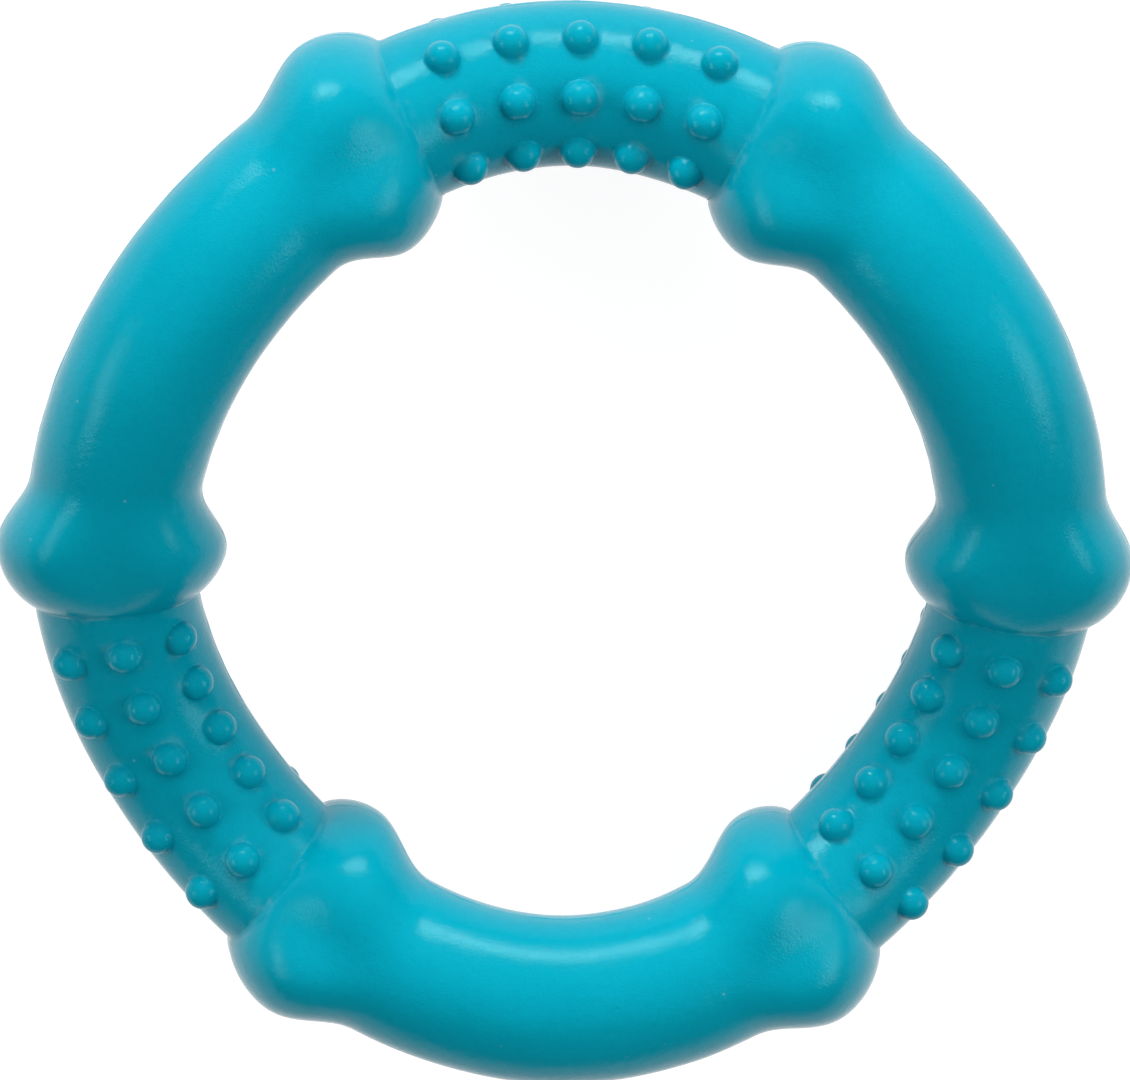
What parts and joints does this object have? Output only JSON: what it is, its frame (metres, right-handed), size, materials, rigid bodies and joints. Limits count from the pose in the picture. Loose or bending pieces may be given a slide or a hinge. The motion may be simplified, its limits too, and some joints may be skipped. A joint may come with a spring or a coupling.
{
  "type": "rubber chew ring",
  "caption": "Endless, wavy chew ring of solid rubber: arched bone shapes with lobed ends alternate with sagging studded bands, to be bitten, pulled and thrown.",
  "frame": {"origin": "centre of the ring, on its mid-plane", "axes": "+Z along the ring's axis, with the bones arched up and the cuffs sagging; +Y through the middle of the top studded cuff; +X across the two upper bones"},
  "size_m": [0.16, 0.1515, 0.0459],
  "materials": {
    "turquoise_rubber": "satin moulded rubber, solid turquoise",
    "core_rubber": "plain extruded rubber, hidden inside"
  },
  "bodies": {
    "root": {"core_ring": "core_rubber", "bone_sleeve_right": "turquoise_rubber", "bone_sleeve_left": "turquoise_rubber", "bone_sleeve_bottom": "turquoise_rubber", "studded_cuff_top": "turquoise_rubber", "studded_cuff_left": "turquoise_rubber", "studded_cuff_right": "turquoise_rubber"}
  },
  "joints": []
}
